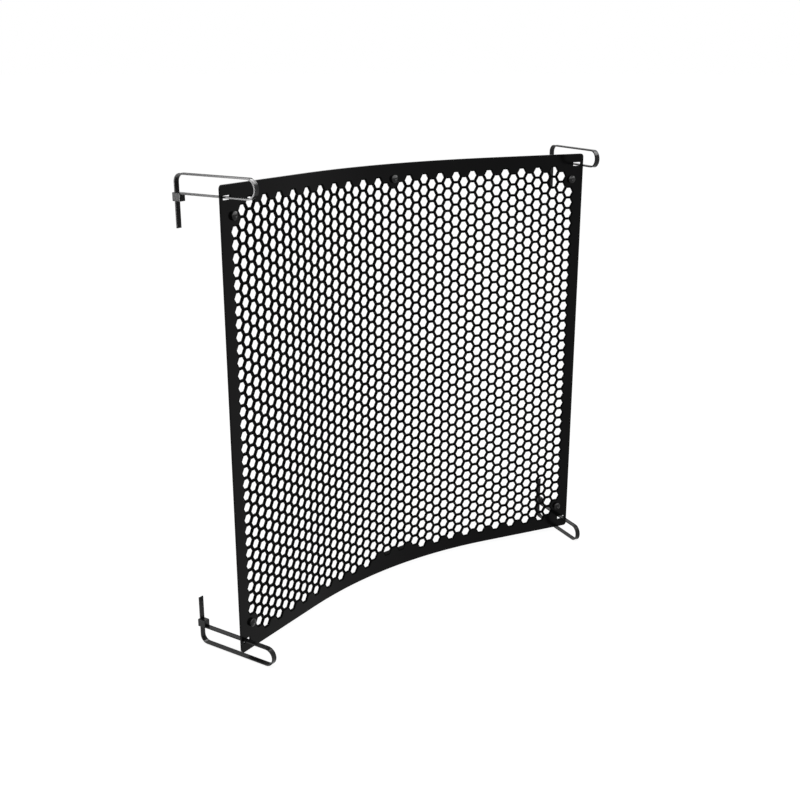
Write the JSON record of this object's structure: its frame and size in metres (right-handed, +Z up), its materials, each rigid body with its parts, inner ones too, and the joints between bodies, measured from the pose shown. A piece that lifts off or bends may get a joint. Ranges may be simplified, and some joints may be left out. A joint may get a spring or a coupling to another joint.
{
  "type": "motorcycle radiator guard",
  "caption": "Bowed sheet of hexagonal mesh that shields a motorcycle radiator, with push-in rubber bumpers along its back and loose cable ties through slots in its corners.",
  "frame": {"origin": "middle of the top centre bumper's rear face, where the guard rests against the radiator", "axes": "+X to the right seen from the front, +Y towards the radiator, so that -Y is the front, +Z up"},
  "size_m": [0.3386, 0.0629, 0.3139],
  "materials": {
    "panel": "satin",
    "bumper": "satin",
    "tie": "satin"
  },
  "bodies": {
    "root": {"guard_panel": "panel", "bumper_top_centre": "bumper", "bumper_top_left": "bumper", "bumper_top_right": "bumper", "bumper_bottom_left": "bumper", "bumper_bottom_right": "bumper", "tie_top_left": "tie", "tie_top_right": "tie", "tie_bottom_left": "tie", "tie_bottom_right": "tie"}
  },
  "joints": []
}
